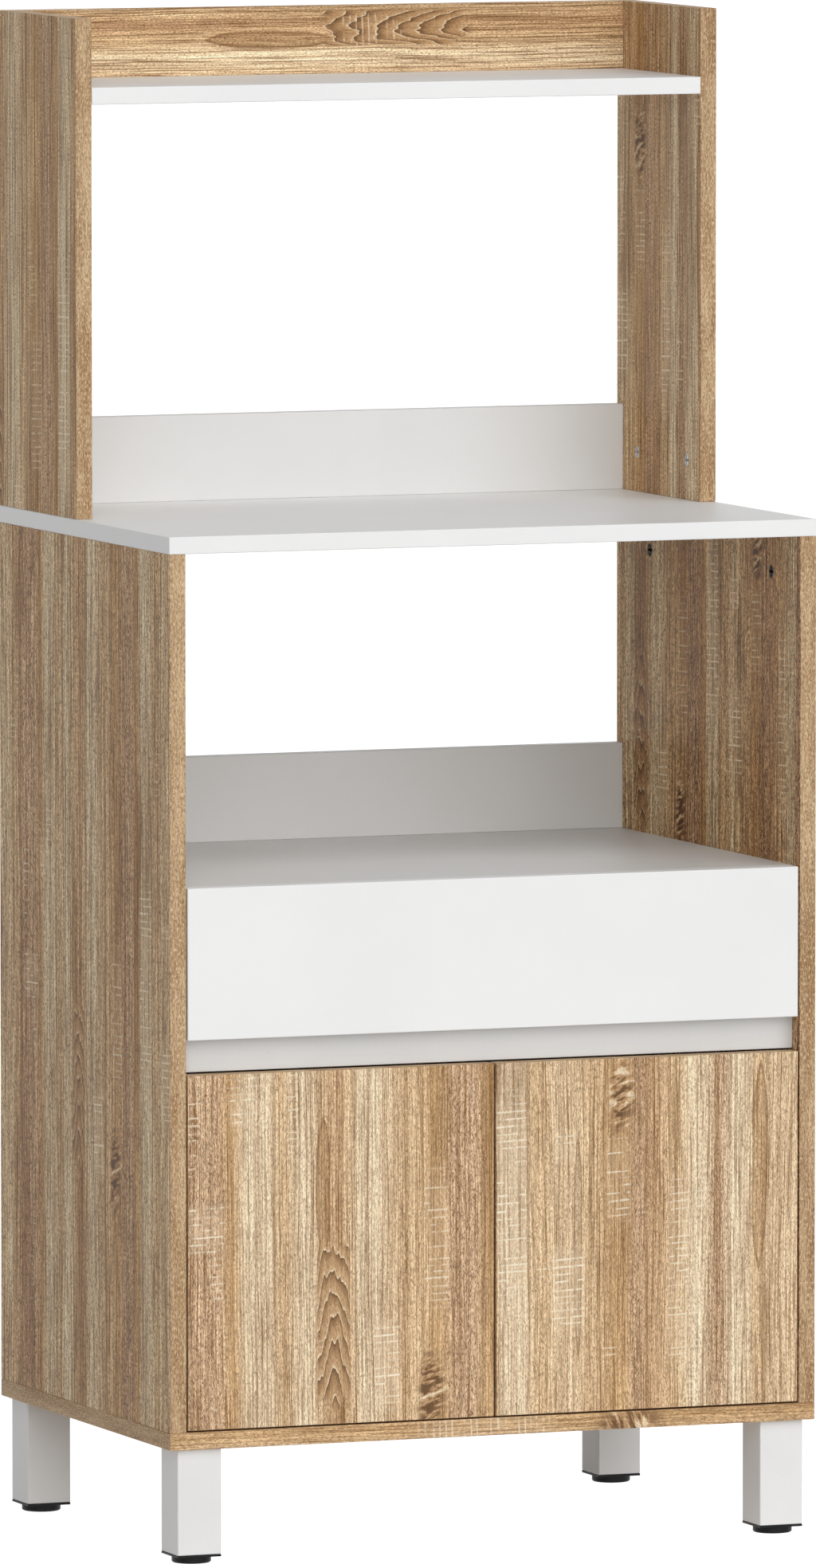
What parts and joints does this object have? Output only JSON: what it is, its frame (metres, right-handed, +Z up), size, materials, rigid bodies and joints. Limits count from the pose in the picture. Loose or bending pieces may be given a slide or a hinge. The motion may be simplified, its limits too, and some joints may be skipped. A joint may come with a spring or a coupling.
{
  "type": "microwave cabinet",
  "caption": "Tall freestanding cabinet with an open microwave niche under a worktop, a hutch shelf above, a full-width drawer, hinged doors below and square legs.",
  "frame": {"origin": "on the floor under the middle of the cabinet", "axes": "+Z up, +X to the right seen from the front, the front faces -Y"},
  "size_m": [0.6, 0.42, 1.32],
  "materials": {
    "oak_board": "sawn oak decor, matt",
    "white_board": "white melamine, matt",
    "hardboard": "white faced hardboard",
    "white_steel": "powder coat",
    "black_plastic": "moulded",
    "bright_zinc": "die cast",
    "dark_zinc": "blackened",
    "nickel_steel": "nickel plate",
    "slide_enamel": "white enamel",
    "roller_nylon": "moulded",
    "beech": "fluted dowel"
  },
  "bodies": {
    "cabinet": {"back_nails": "bright_zinc", "back_panel": "hardboard", "bottom_panel": "oak_board", "cam_bolts": "bright_zinc", "cams_bright": "bright_zinc", "cams_dark": "dark_zinc", "dowels": "beech", "hinge_arms_left": "nickel_steel", "hinge_arms_right": "nickel_steel", "hinge_plates": "nickel_steel", "hinge_screws": "nickel_steel", "leg_caps": "black_plastic", "leg_front_left": "white_steel", "leg_front_right": "white_steel", "leg_rear_left": "white_steel", "leg_rear_right": "white_steel", "leg_screws": "nickel_steel", "lower_side_left": "oak_board", "lower_side_right": "oak_board", "niche_back_rail": "white_board", "niche_shelf": "white_board", "recess_rail": "white_board", "slide_channel_left": "slide_enamel", "slide_channel_right": "slide_enamel", "slide_channel_screws": "nickel_steel", "top_back_rail": "oak_board", "top_shelf": "white_board", "upper_back_rail": "white_board", "upper_side_left": "oak_board", "upper_side_right": "oak_board", "worktop": "white_board"},
    "door_left": {"door_left": "oak_board", "hinge_cup_screws_left": "nickel_steel", "hinge_cups_left": "nickel_steel", "hinge_pins_left": "nickel_steel"},
    "door_right": {"door_right": "oak_board", "hinge_cup_screws_right": "nickel_steel", "hinge_cups_right": "nickel_steel", "hinge_pins_right": "nickel_steel"},
    "drawer": {"drawer_back": "white_board", "drawer_back_screws": "nickel_steel", "drawer_bolts": "bright_zinc", "drawer_bottom": "hardboard", "drawer_cams": "bright_zinc", "drawer_front": "white_board", "drawer_side_left": "white_board", "drawer_side_right": "white_board", "slide_angle_left": "slide_enamel", "slide_angle_right": "slide_enamel", "slide_angle_screws": "nickel_steel"},
    "foot_front_left": {"foot_front_left": "black_plastic"},
    "foot_front_right": {"foot_front_right": "black_plastic"},
    "foot_rear_left": {"foot_rear_left": "black_plastic"},
    "foot_rear_right": {"foot_rear_right": "black_plastic"},
    "front_rollers": {"roller_front_left": "roller_nylon", "roller_front_right": "roller_nylon"},
    "rear_rollers": {"roller_rear_left": "roller_nylon", "roller_rear_right": "roller_nylon"}
  },
  "joints": [
    {"name": "drawer_slide", "type": "slide", "parent": "cabinet", "child": "drawer", "axis": [0, -1, 0], "range_m": [0, 0.26]},
    {"name": "front_rollers_spin", "type": "hinge", "parent": "cabinet", "child": "front_rollers", "pos_m": [0, -0.174, 0.4807], "axis": [1, 0, 0], "range_deg": [0, 1356]},
    {"name": "rear_rollers_spin", "type": "hinge", "parent": "drawer", "child": "rear_rollers", "pos_m": [0, 0.138, 0.4785], "axis": [1, 0, 0], "range_deg": [0, 1356]},
    {"name": "door_left_hinge", "type": "hinge", "parent": "cabinet", "child": "door_left", "pos_m": [-0.2585, -0.2025, 0.26975], "axis": [0, 0, -1], "range_deg": [0, 95]},
    {"name": "door_right_hinge", "type": "hinge", "parent": "cabinet", "child": "door_right", "pos_m": [0.2585, -0.2025, 0.26975], "axis": [0, 0, 1], "range_deg": [0, 95]},
    {"name": "foot_front_left_level", "type": "slide", "parent": "cabinet", "child": "foot_front_left", "axis": [0, 0, -1], "range_m": [0, 0.01]},
    {"name": "foot_front_right_level", "type": "slide", "parent": "cabinet", "child": "foot_front_right", "axis": [0, 0, -1], "range_m": [0, 0.01]},
    {"name": "foot_rear_left_level", "type": "slide", "parent": "cabinet", "child": "foot_rear_left", "axis": [0, 0, -1], "range_m": [0, 0.01]},
    {"name": "foot_rear_right_level", "type": "slide", "parent": "cabinet", "child": "foot_rear_right", "axis": [0, 0, -1], "range_m": [0, 0.01]}
  ],
  "couplings": [
    {"joint": "front_rollers_spin", "follows": "drawer_slide", "rad_per_m": 90.909},
    {"joint": "rear_rollers_spin", "follows": "drawer_slide", "rad_per_m": 90.909}
  ]
}
